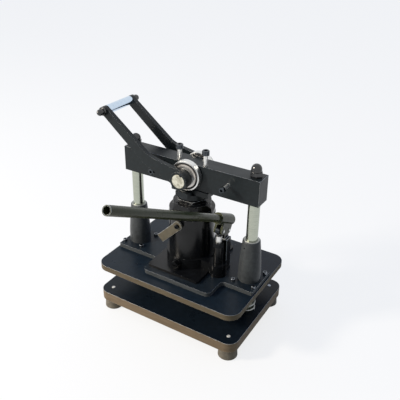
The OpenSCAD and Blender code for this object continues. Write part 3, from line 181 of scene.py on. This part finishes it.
def powder_coat(name, dark, light, smooth, matt, gloss=1.5):
    """Powder coat, baked on: a faint orange peel, so its highlights are broad and soft."""
    made, tree, place = start_finish(name)
    at = place.outputs["Object"]
    end_finish(tree, add(tree, "ShaderNodeBsdfPrincipled", {
        "Base Color": mottled(tree, at, COAT_MOTTLE, dark, light),
        "Roughness": patchy(tree, at, COAT_SHEEN, smooth, matt),
        "IOR": gloss,
        "Normal": orange_peel(tree, at),
    }))
    return made


def coated_plate(name, dark, light, painted_light_edge_dark, painted_light_edge_light):
    """A steel plate with a satin coat on its faces; its flame cut edges get paler colours, painted sunlight
    and reflected ground.
    """
    made, tree, place = start_finish(name)
    at = place.outputs["Object"]
    tilt = add(tree, "ShaderNodeSeparateXYZ", {0: place.outputs["Normal"]})
    upright = add(tree, "ShaderNodeMath", {0: tilt.outputs["Z"]}, operation="ABSOLUTE")
    edge = add(tree, "ShaderNodeMapRange",
               {"Value": upright.outputs[0], "From Min": FACE_TILT, "From Max": EDGE_TILT}).outputs[0]
    # The lines of cutting run lengthwise, and are faint, as the coat fills them; their colours are painted
    # light on the edges
    lengthwise = add(tree, "ShaderNodeMapping", {"Vector": at, "Scale": (0.15, 0.15, 1.0)})
    painted_light_edge_lines = mottled(tree, lengthwise.outputs[0], CUT_LINE, painted_light_edge_dark, painted_light_edge_light, detail=3.0)
    face = mottled(tree, at, COAT_MOTTLE, dark, light)
    face_rough = patchy(tree, at, PLATE_SHEEN, 0.26, 0.40)
    edge_rough = 0.62
    end_finish(tree, add(tree, "ShaderNodeBsdfPrincipled", {
        "Base Color": add(tree, "ShaderNodeMix", {0: edge, 6: face, 7: painted_light_edge_lines},
                          data_type="RGBA").outputs[2],
        "Roughness": add(tree, "ShaderNodeMix", {0: edge, 2: face_rough, 3: edge_rough},
                         data_type="FLOAT").outputs[0],
        "IOR": PLATE_GLOSS,
        "Normal": orange_peel(tree, at),
    }))
    return made


def bright_metal(name, dark, light, smooth, matt, stretch=(1.0, 1.0, 1.0), bare=1.0):
    """Bare or plated metal; stretch lays its fine tool marks along the way that the piece was ground.

    bare is the share of the metal that no dust covers.
    """
    made, tree, place = start_finish(name)
    along = add(tree, "ShaderNodeMapping", {"Vector": place.outputs["Object"], "Scale": stretch}).outputs[0]
    end_finish(tree, add(tree, "ShaderNodeBsdfPrincipled", {
        "Base Color": mottled(tree, along, TOOL_MARK, dark, light, detail=TOOL_DETAIL),
        "Metallic": bare,
        "Roughness": patchy(tree, along, TOOL_MARK, smooth, matt),
    }))
    return made


def part_blackened(name, axis, from_place, reach, dark, light, smooth=0.20, matt=0.36):
    """Bright steel, blackened past a reach from a place along an axis: a screw's head or a rod's eye."""
    made, tree, place = start_finish(name)
    at = place.outputs["Object"]
    along = add(tree, "ShaderNodeSeparateXYZ", {0: at}).outputs[axis]
    off = add(tree, "ShaderNodeMath", {0: along, 1: from_place}, operation="SUBTRACT").outputs[0]
    far = add(tree, "ShaderNodeMath", {0: off}, operation="ABSOLUTE").outputs[0]
    black = add(tree, "ShaderNodeMath", {0: far, 1: reach}, operation="GREATER_THAN").outputs[0]
    bright = mottled(tree, at, TOOL_MARK, "#dedfdd", "#f0f0ee", detail=TOOL_DETAIL)
    oxide = mottled(tree, at, TOOL_MARK, dark, light, detail=TOOL_DETAIL)
    ground = patchy(tree, at, TOOL_MARK, 0.32, 0.46)
    oiled = patchy(tree, at, TOOL_MARK, smooth, matt)
    end_finish(tree, add(tree, "ShaderNodeBsdfPrincipled", {
        "Base Color": add(tree, "ShaderNodeMix", {0: black, 6: bright, 7: oxide},
                          data_type="RGBA").outputs[2],
        "Metallic": 1.0,
        "Roughness": add(tree, "ShaderNodeMix", {0: black, 2: ground, 3: oiled},
                         data_type="FLOAT").outputs[0],
    }))
    return made


def turned_steel(name, dark, light, centre):
    """The face of a turned shaft: rings of tool marks round its axis, which runs along Y."""
    made, tree, place = start_finish(name)
    centred = add(tree, "ShaderNodeMapping",
                  {"Vector": place.outputs["Object"], "Location": -centre}).outputs[0]
    rings = add(tree, "ShaderNodeTexWave",
                {"Vector": centred, "Scale": per_metre(LATHE_RING) * WAVE_PERIOD,
                 "Distortion": 1.5, "Detail": 3.0, "Detail Scale": 2.0},
                wave_type="RINGS", rings_direction="Y")
    rough = add(tree, "ShaderNodeMapRange", {"Value": rings.outputs["Fac"], "To Min": 0.24, "To Max": 0.40})
    end_finish(tree, add(tree, "ShaderNodeBsdfPrincipled", {
        "Base Color": mottled(tree, centred, SHAFT_MOTTLE, dark, light, low=0.38, high=0.62),
        "Metallic": 1.0,
        "Roughness": rough.outputs[0],
    }))
    return made


def gloss_enamel(name, dark, light, smooth, matt, wave_mm):
    """Sprayed black enamel on cast iron: a glossy film over the sags and soft waves of the casting's skin."""
    made, tree, place = start_finish(name)
    at = place.outputs["Object"]
    end_finish(tree, add(tree, "ShaderNodeBsdfPrincipled", {
        "Base Color": mottled(tree, at, ENAMEL_MOTTLE, dark, light),
        "Roughness": patchy(tree, at, ENAMEL_SHEEN, smooth, matt),
        "IOR": ENAMEL_GLOSS,
        "Normal": relief(tree, at, ENAMEL_WAVE, depth_mm=wave_mm, strength=0.6),
    }))
    return made


def moulded_rubber(name, dark, light):
    """Moulded rubber, dusty from use: a matt skin with a fine grain and paler dust in patches."""
    made, tree, place = start_finish(name)
    at = place.outputs["Object"]
    end_finish(tree, add(tree, "ShaderNodeBsdfPrincipled", {
        "Base Color": mottled(tree, at, DUST_MOTTLE, dark, light),
        "Roughness": patchy(tree, at, DUST_SHEEN, 0.70, 0.90),
        "IOR": RUBBER_GLOSS,
        "Normal": relief(tree, at, MOULD_GRAIN, depth_mm=0.2, strength=0.3),
    }))
    return made


# Heights of the blackened heads and of the plunger's eye, and how far the collars' bright seats stand out
GUIDE_HEAD = 10 * MM
STOP_HEAD = 8 * MM
PLUNGER_EYE = 22 * MM
COLLAR_SEAT = 0.1 * MM

# How far the bright part of each reaches: up from the floor, or to front and back from the press's middle
GUIDE_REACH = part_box("guide_screws")[1].z - GUIDE_HEAD
PLUNGER_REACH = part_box("pump_plunger")[1].z - PLUNGER_EYE
STOP_REACH = STAND.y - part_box("lever_stop_screws")[0].y - STOP_HEAD
COLLAR_REACH = STAND.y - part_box("front_roller_ring")[0].y + COLLAR_SEAT

# Coated steel: black with a soft sheen, bluish on the plates; the brown and grey on the plates' cut edges are
# painted sunlight and reflected ground, the pale grey on eased edges a painted highlight
satin_black = powder_coat("satin_black_powder_coat", "#11171a", "#182024", smooth=0.32, matt=0.46, gloss=1.34)
# Pale grey for the eased edges: a painted highlight, standing in for light that catches the edges
painted_edge_highlight = powder_coat("coat_edge_painted_highlight", "#a4a8ab", "#c0c4c7", smooth=0.30, matt=0.40)
# The last two colours of each plate are painted light on its cut edges: sunlight and reflected ground on the
# black coat
base_black = coated_plate("coated_base_plate", "#0d141b", "#141d26", "#6b5d4c", "#7a6b59")
press_black = coated_plate("coated_press_plate", "#0f1922", "#15212c", "#554c3d", "#635949")
carrier_black = coated_plate("coated_carrier_plate", "#131a21", "#1a232b", "#3f4346", "#4f5356")
sleeve_black = powder_coat("satin_sleeve_coat", "#383b3e", "#464a4d", smooth=0.30, matt=0.40, gloss=1.3)
# The tube's olive tint is a painted reflection of green surroundings on black paint
handle_paint_with_painted_reflection = powder_coat("black_tube_paint_painted_olive_reflection", "#34371f", "#42452c", smooth=0.20, matt=0.30, gloss=1.3)
# The strap's taupe is painted sunlight on black paint
strap_with_painted_sunlight = powder_coat("strap_paint_painted_sunlight", "#4c4739", "#5b5546", smooth=0.50, matt=0.65)

# Enamel and lacquer: deep black with small, bright highlights
jack_black = gloss_enamel("gloss_black_enamel", "#0a0b0d", "#131518", smooth=0.14, matt=0.26, wave_mm=0.1)
cap_black = gloss_enamel("thick_black_enamel", "#0a0b0d", "#131518", smooth=0.10, matt=0.18, wave_mm=0.9)
nut_black = powder_coat("gloss_black_nut_lacquer", "#0d0f12", "#14171b", smooth=0.12, matt=0.20, gloss=1.65)

# Chrome, steel, zinc and bronze: clear to hazy mirrors, with marks round the pieces that were ground round
# The chrome's green-yellow tint is a painted reflection of green surroundings
column_chrome_with_painted_reflection = bright_metal("ground_hard_chrome_painted_reflection", "#a4a99c", "#b8bcae", 0.14, 0.22, stretch=(0.2, 0.2, 3.0))
# The grip's blue tint is a painted reflection of blue sky on the chrome
grip_chrome_with_painted_sky = bright_metal("polished_chrome_painted_sky_reflection", "#bccde0", "#d0dfee", 0.10, 0.18, stretch=(0.3, 2.0, 0.3))
ring_steel = bright_metal("polished_bearing_steel", "#d0d1d0", "#e4e5e3", 0.26, 0.38, stretch=(0.4, 2.5, 0.4))
race_steel = bright_metal("ground_bearing_steel", "#d8d4cf", "#ebe7e2", 0.46, 0.60)
screw_steel = bright_metal("zinc_plated_steel", "#b4b6b6", "#c9cbcb", 0.22, 0.36)
dusty_zinc = bright_metal("dusty_zinc_steel", "#c9c9c5", "#dededa", 0.44, 0.56, bare=0.2)
wiper_steel = bright_metal("dull_wiper_steel", "#8d908e", "#a4a7a5", 0.42, 0.56)
spring_steel = bright_metal("spring_wire_steel", "#7f8284", "#9b9ea0", 0.24, 0.38)
shaft_steel = turned_steel("turned_shaft_steel", "#a8a492", "#dedbca", middle("lever_shaft"))
bush_bronze = bright_metal("cast_bronze", "#8f6836", "#ad8148", 0.30, 0.46)

# Blackened steel: dark metal with an oily shine, on some pieces only at the head
oxide_black = bright_metal("black_oxide_steel", "#1d1e20", "#2b2d30", 0.28, 0.42)
screw_black = bright_metal("oiled_black_screw_steel", "#5c6065", "#747980", 0.26, 0.38)
guide_screw_steel = part_blackened("guide_screw_steel", "Z", 0.0, GUIDE_REACH, "#3c4044", "#50555a")
stop_screw_steel = part_blackened("stop_screw_steel", "Y", STAND.y, STOP_REACH, "#3c4044", "#50555a",
                                  smooth=0.14, matt=0.24)
plunger_steel = part_blackened("plunger_steel", "Z", 0.0, PLUNGER_REACH, "#26282b", "#363a3e")
collar_steel = part_blackened("collar_steel", "Y", STAND.y, COLLAR_REACH, "#1c1d1f", "#2a2c2e",
                              smooth=0.45, matt=0.60)

# Rubber: matt; grey on the feet, which is painted sunlight on the rubber, with paler patches of dust; black
# on seals and shields
foot_rubber_with_painted_light = moulded_rubber("foot_rubber_painted_sunlight", "#5a554c", "#777166")
seal_rubber = moulded_rubber("black_nitrile_rubber", "#161616", "#242424")

# Each finish, the width in millimetres to which edges are eased under it, and the pieces that have it
FINISHES = [
    (base_black, 1.2, "base_plate"),
    (press_black, 1.2, "press_plate"),
    (carrier_black, 0.8, "carrier_plate"),
    (satin_black, 1.6, "crossbeam"),
    (satin_black, 0.6, "front_lever_arm rear_lever_arm yoke"),
    (sleeve_black, 0.6, "left_guide_sleeve right_guide_sleeve"),
    (handle_paint_with_painted_reflection, 0.4, "handle_socket pump_handle"),
    (strap_with_painted_sunlight, 0.4, "tank_strap"),
    (jack_black, 0.8, "jack_base jack_tank fulcrum_post"),
    (cap_black, 0.8, "jack_cap gland_nut"),
    (jack_black, 0.0, "pump_cylinder"),
    (oxide_black, 0.0, "column_foot_nuts hub_keys jack_clamp_screws strap_screw pump_gland release_valve"),
    (nut_black, 0.0, "column_acorn_nuts grip_acorn_nuts"),
    (collar_steel, 0.0, "eccentric_collars"),
    (column_chrome_with_painted_reflection, 0.0, "left_column right_column jack_ram"),
    (wiper_steel, 0.0, "wiper_rings"),
    (plunger_steel, 0.0, "pump_plunger"),
    (grip_chrome_with_painted_sky, 0.0, "lever_grip"),
    (ring_steel, 0.0, "front_roller_ring rear_roller_ring roller_balls"),
    (race_steel, 0.0, "roller_inner_rings"),
    (dusty_zinc, 0.0, "foot_screws"),
    (screw_black, 0.0, "carrier_screws"),
    (screw_steel, 0.0, "grip_rod jack_cylinder fulcrum_pin plunger_pin"),
    (guide_screw_steel, 0.0, "guide_screws"),
    (stop_screw_steel, 0.0, "lever_stop_screws"),
    (shaft_steel, 0.0, "lever_shaft"),
    (spring_steel, 0.0, "left_return_spring right_return_spring"),
    (bush_bronze, 0.0, "beam_bush guide_bushes"),
    (foot_rubber_with_painted_light, 0.0, "rubber_feet"),
    (seal_rubber, 0.0, "ram_piston_seal ram_seal oil_plug front_roller_shield rear_roller_shield"),
]

# The second of a piece's material slots is for its eased edges, which carry a painted highlight
EDGE_SLOT = 1


def dress(piece, finish):
    """Puts one finish on all of a piece."""
    piece.data.materials.clear()
    piece.data.materials.append(finish)


def ease_edges(piece, width_mm):
    """Breaks the sharp edges of a solid, as filing does, and coats them pale grey: a painted highlight on
    every eased edge.
    """
    piece.data.materials.append(painted_edge_highlight)
    weld = piece.modifiers.new("join_faces", "WELD")
    weld.merge_threshold = 0.002 * MM
    flat = piece.modifiers.new("flat_faces", "DECIMATE")
    flat.decimate_type = "DISSOLVE"
    flat.angle_limit = math.radians(0.5)
    ease = piece.modifiers.new("broken_edges", "BEVEL")
    ease.width = width_mm * MM
    ease.segments = 2
    ease.limit_method = "ANGLE"
    ease.angle_limit = SHARP_ANGLE
    ease.use_clamp_overlap = True
    ease.material = EDGE_SLOT
    piece.modifiers.new("even_shading", "WEIGHTED_NORMAL")


for finish, edge_mm, names in FINISHES:
    for name in names.split():
        dress(NODES[name], finish)
        if edge_mm:
            ease_edges(NODES[name], edge_mm)


# Return springs: round wire on each column, a flat turn at each end, and room over them for the yoke's slide

WIRE = 4.0 * MM
WIRE_SIDES = 14
COIL_R = 16.5 * MM
COIL_LOW = 54.3 * MM
COIL_HIGH = 183.4 * MM
FLAT_PITCH = 4.7 * MM
OPEN_TURNS = 9
OPEN_PITCH = (COIL_HIGH - COIL_LOW - 2 * FLAT_PITCH) / OPEN_TURNS
STEPS_PER_TURN = 40


def wind(height, turns, pitch):
    """Winds a stretch of wire round Z, up from the given height."""
    bpy.ops.object.select_all(action="DESELECT")
    bpy.ops.mesh.primitive_circle_add(vertices=WIRE_SIDES, radius=WIRE / 2)
    wire = bpy.context.object
    bpy.ops.object.mode_set(mode="EDIT")
    bpy.ops.mesh.select_all(action="SELECT")
    bpy.ops.transform.rotate(value=math.pi / 2, orient_axis="X", center_override=(0, 0, 0))
    bpy.ops.transform.translate(value=(COIL_R, 0, height))
    bpy.ops.object.mode_set(mode="OBJECT")
    coil = wire.modifiers.new("winding", "SCREW")
    coil.axis = "Z"
    coil.angle = 2 * math.pi
    coil.iterations = turns
    coil.screw_offset = pitch
    coil.steps = coil.render_steps = STEPS_PER_TURN
    coil.use_merge_vertices = False
    bpy.ops.object.modifier_apply(modifier=coil.name)
    return wire


def wound_spring(name, column):
    """One spring in one piece round a column, closed at both ends of its wire."""
    first = wind(COIL_LOW, 1, FLAT_PITCH)
    open_turns = wind(COIL_LOW + FLAT_PITCH, OPEN_TURNS, OPEN_PITCH)
    last = wind(COIL_HIGH - FLAT_PITCH, 1, FLAT_PITCH)
    for stretch in (last, open_turns, first):
        stretch.select_set(True)
    bpy.context.view_layer.objects.active = first
    bpy.ops.object.join()
    bpy.ops.object.mode_set(mode="EDIT")
    bpy.ops.mesh.select_all(action="SELECT")
    bpy.ops.mesh.remove_doubles(threshold=0.05 * MM)
    bpy.ops.transform.translate(value=(column.x, column.y, 0))
    bpy.ops.mesh.select_all(action="DESELECT")
    bpy.ops.mesh.select_mode(type="EDGE")
    bpy.ops.mesh.select_non_manifold()
    bpy.ops.mesh.fill_holes(sides=0)
    bpy.ops.mesh.select_all(action="SELECT")
    bpy.ops.mesh.normals_make_consistent(inside=False)
    bpy.ops.object.mode_set(mode="OBJECT")
    bpy.ops.object.shade_smooth_by_angle(angle=SHARP_ANGLE)
    first.name = name
    return first


for side in ("left", "right"):
    column = middle(side + "_column")
    spring = wound_spring(side + "_wound_spring", column)
    dress(spring, spring_steel)
    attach(spring, "frame")
    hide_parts(side + "_return_spring")
    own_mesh(spring)


# Floor, light and camera, in metres

FLOOR_SIZE = 60.0
# The share of the floor's white that no shadow dims
FLOOR_GLOW = 0.8
WHITE = "#ffffff"
PAPER_WHITE = "#f2f1ee"
PAVING_LEFT = "#d8d5cc"
PAVING_RIGHT = "#8a8f7c"

SKY_BACK = "#aac4f6"
SKY_FRONT = "#939288"
SKY_TOP = "#aabcdc"

# The lamp stands at the front left, the side that the photograph's light comes from
KEY_PLACE = Vector((-1.65, -1.65, 1.60))
KEY_SIZE = 0.4
KEY_WATTS = 80
KEY_COLOUR = "#fff3e2"
LOOK_HEIGHT = 0.22

CAMERA_PLACE = Vector((0.5470, -0.8771, 0.8585))
CAMERA_AZIMUTH = math.radians(31.0)
CAMERA_ELEVATION = math.radians(28.67)
CAMERA_ROLL = math.radians(0.82)
SENSOR_WIDTH_MM = 36.0
FOCAL_LENGTH_MM = 47.38


def seen_directly(tree):
    """1 for rays from the eye, also by way of gloss or glass, so that metal shows the pale background too."""
    ray = add(tree, "ShaderNodeLightPath")
    shiny = add(tree, "ShaderNodeMath",
                {0: ray.outputs["Is Glossy Ray"], 1: ray.outputs["Is Transmission Ray"]}, operation="MAXIMUM")
    return add(tree, "ShaderNodeMath", {0: ray.outputs["Is Camera Ray"], 1: shiny.outputs[0]},
               operation="MAXIMUM").outputs[0]


def pale_floor():
    """A wide pale floor that looks almost white, also in metal, with the press's shadow on it."""
    bpy.ops.object.select_all(action="DESELECT")
    bpy.ops.mesh.primitive_plane_add(size=FLOOR_SIZE)
    floor = bpy.context.object
    floor.name = "studio_floor"
    made, tree, place = start_finish("pale_studio_floor")
    seen = seen_directly(tree)
    # White paper to the eye; in the light that it throws on the press it is paving, darker on the right
    across = add(tree, "ShaderNodeSeparateXYZ", {0: place.outputs["Object"]})
    right = add(tree, "ShaderNodeMapRange", {"Value": across.outputs["X"], "From Min": -0.2, "From Max": 0.5})
    paving = add(tree, "ShaderNodeMix",
                 {0: right.outputs[0], 6: linear(PAVING_LEFT), 7: linear(PAVING_RIGHT)}, data_type="RGBA")
    tone = add(tree, "ShaderNodeMix", {0: seen, 6: paving.outputs[2], 7: linear(PAPER_WHITE)},
               data_type="RGBA")
    paper = add(tree, "ShaderNodeBsdfDiffuse", {"Color": tone.outputs[2]})
    glow = add(tree, "ShaderNodeEmission", {"Color": linear(WHITE), "Strength": 1.0})
    share = add(tree, "ShaderNodeMath", {0: seen, 1: FLOOR_GLOW}, operation="MULTIPLY")
    both = add(tree, "ShaderNodeMixShader", {0: share.outputs[0], 1: paper.outputs[0], 2: glow.outputs[0]})
    end_finish(tree, both)
    dress(floor, made)


def studio_sky():
    """White behind the press and in its metal; soft light that is blue from the back, dim on the right."""
    world = bpy.data.worlds.new("studio")
    bpy.context.scene.world = world
    world.use_nodes = True
    tree = world.node_tree
    tree.nodes.clear()
    place = add(tree, "ShaderNodeTexCoord")
    way = add(tree, "ShaderNodeSeparateXYZ", {0: place.outputs["Generated"]})
    back = add(tree, "ShaderNodeMapRange", {"Value": way.outputs["Y"], "From Min": -0.3, "From Max": 0.5})
    low = add(tree, "ShaderNodeMix", {0: back.outputs[0], 6: linear(SKY_FRONT), 7: linear(SKY_BACK)},
              data_type="RGBA")
    height = add(tree, "ShaderNodeMapRange", {"Value": way.outputs["Z"], "From Min": 0.45, "From Max": 0.95})
    sky = add(tree, "ShaderNodeMix", {0: height.outputs[0], 6: low.outputs[2], 7: linear(SKY_TOP)},
              data_type="RGBA")
    dim = add(tree, "ShaderNodeMapRange",
              {"Value": way.outputs["X"], "From Min": 0.1, "From Max": 0.8, "To Min": 1.3, "To Max": 0.3})
    room = add(tree, "ShaderNodeBackground", {"Color": sky.outputs[2], "Strength": dim.outputs[0]})
    white = add(tree, "ShaderNodeBackground", {"Color": linear(WHITE), "Strength": 1.0})
    both = add(tree, "ShaderNodeMixShader", {0: seen_directly(tree), 1: room.outputs[0], 2: white.outputs[0]})
    add(tree, "ShaderNodeOutputWorld", {"Surface": both.outputs[0]})


def key_light():
    """A square soft light that looks at the middle of the press."""
    lamp = bpy.data.lights.new("key_light", "AREA")
    lamp.size = KEY_SIZE
    lamp.energy = KEY_WATTS
    lamp.color = linear(KEY_COLOUR)[:3]
    holder = bpy.data.objects.new("key_light", lamp)
    bpy.context.scene.collection.objects.link(holder)
    holder.location = STAND + KEY_PLACE
    looks_at = STAND + Vector((0, 0, LOOK_HEIGHT))
    holder.rotation_euler = (looks_at - holder.location).to_track_quat("-Z", "Y").to_euler()


def photo_camera():
    """The camera at the photograph's place: right of the middle, above, and turned by under a degree."""
    ahead = math.cos(CAMERA_ELEVATION)
    forward = Vector((-math.sin(CAMERA_AZIMUTH) * ahead, math.cos(CAMERA_AZIMUTH) * ahead,
                      -math.sin(CAMERA_ELEVATION)))
    level = Vector((math.cos(CAMERA_AZIMUTH), math.sin(CAMERA_AZIMUTH), 0))
    upward = level.cross(forward)
    right = math.cos(CAMERA_ROLL) * level + math.sin(CAMERA_ROLL) * upward
    up = math.cos(CAMERA_ROLL) * upward - math.sin(CAMERA_ROLL) * level
    lens = bpy.data.cameras.new("photo_camera")
    lens.sensor_width = SENSOR_WIDTH_MM
    lens.lens = FOCAL_LENGTH_MM
    camera = bpy.data.objects.new("photo_camera", lens)
    bpy.context.scene.collection.objects.link(camera)
    turn = Matrix((right, up, -forward)).transposed()
    camera.matrix_world = Matrix.Translation(STAND + CAMERA_PLACE) @ turn.to_4x4()
    bpy.context.scene.camera = camera


pale_floor()
studio_sky()
key_light()
photo_camera()
bpy.context.scene.view_settings.view_transform = "Standard"
